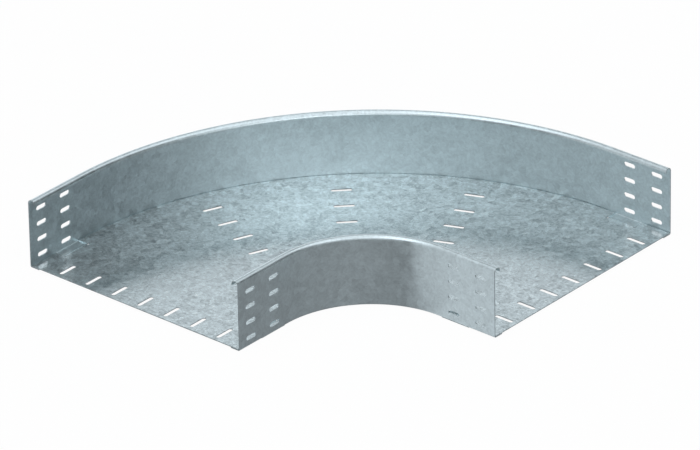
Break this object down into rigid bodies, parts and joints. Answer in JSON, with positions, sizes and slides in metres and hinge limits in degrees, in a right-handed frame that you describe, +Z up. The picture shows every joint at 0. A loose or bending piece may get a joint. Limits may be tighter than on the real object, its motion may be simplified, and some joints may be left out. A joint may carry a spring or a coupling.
{
  "type": "cable tray bend",
  "caption": "Flat ninety-degree bend for a cable tray: slotted floor between two curved side rails with rolled lips and slotted ends, in galvanised sheet steel.",
  "frame": {"origin": "under the middle of the bounding box, at the underside of the lowest lugs", "axes": "+Z up out of the open tray; the two open ends face -X and -Y, and the part is mirror-symmetric about the plane x = y"},
  "size_m": [0.655, 0.655, 0.1115],
  "materials": {
    "galvanised_floor": "zinc-coated, fine mottled spangle, half gloss",
    "galvanised_outer_rail": "zinc-coated, fine mottled spangle, half gloss",
    "galvanised_inner_rail": "zinc-coated, fine mottled spangle, half gloss"
  },
  "bodies": {
    "root": {"floor_plate": "galvanised_floor", "outer_rail": "galvanised_outer_rail", "inner_rail": "galvanised_inner_rail"}
  },
  "joints": []
}
